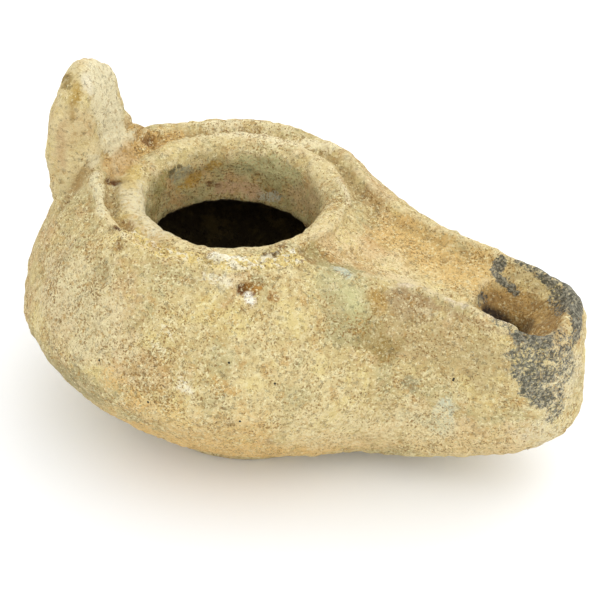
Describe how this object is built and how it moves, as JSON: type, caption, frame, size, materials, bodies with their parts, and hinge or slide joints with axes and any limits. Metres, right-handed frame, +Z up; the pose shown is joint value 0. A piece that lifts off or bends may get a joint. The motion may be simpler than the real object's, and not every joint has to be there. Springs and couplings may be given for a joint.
{
  "type": "clay oil lamp",
  "caption": "Drop-shaped clay oil lamp with a collared filling hole, a channel to the wick hole in a blunt spout, a tongue handle at the back and a low round foot.",
  "frame": {"origin": "middle of the foot's underside, on the surface the lamp stands on", "axes": "+X along the spout, away from the handle; +Z up, out of the filling hole; +Y to the left of someone who looks along the spout"},
  "size_m": [0.0888, 0.0624, 0.055],
  "materials": {
    "fired_clay": "matt unglazed buff clay, worn, with soil crust and soot at the spout"
  },
  "bodies": {
    "root": {"lamp": "fired_clay"}
  },
  "joints": []
}
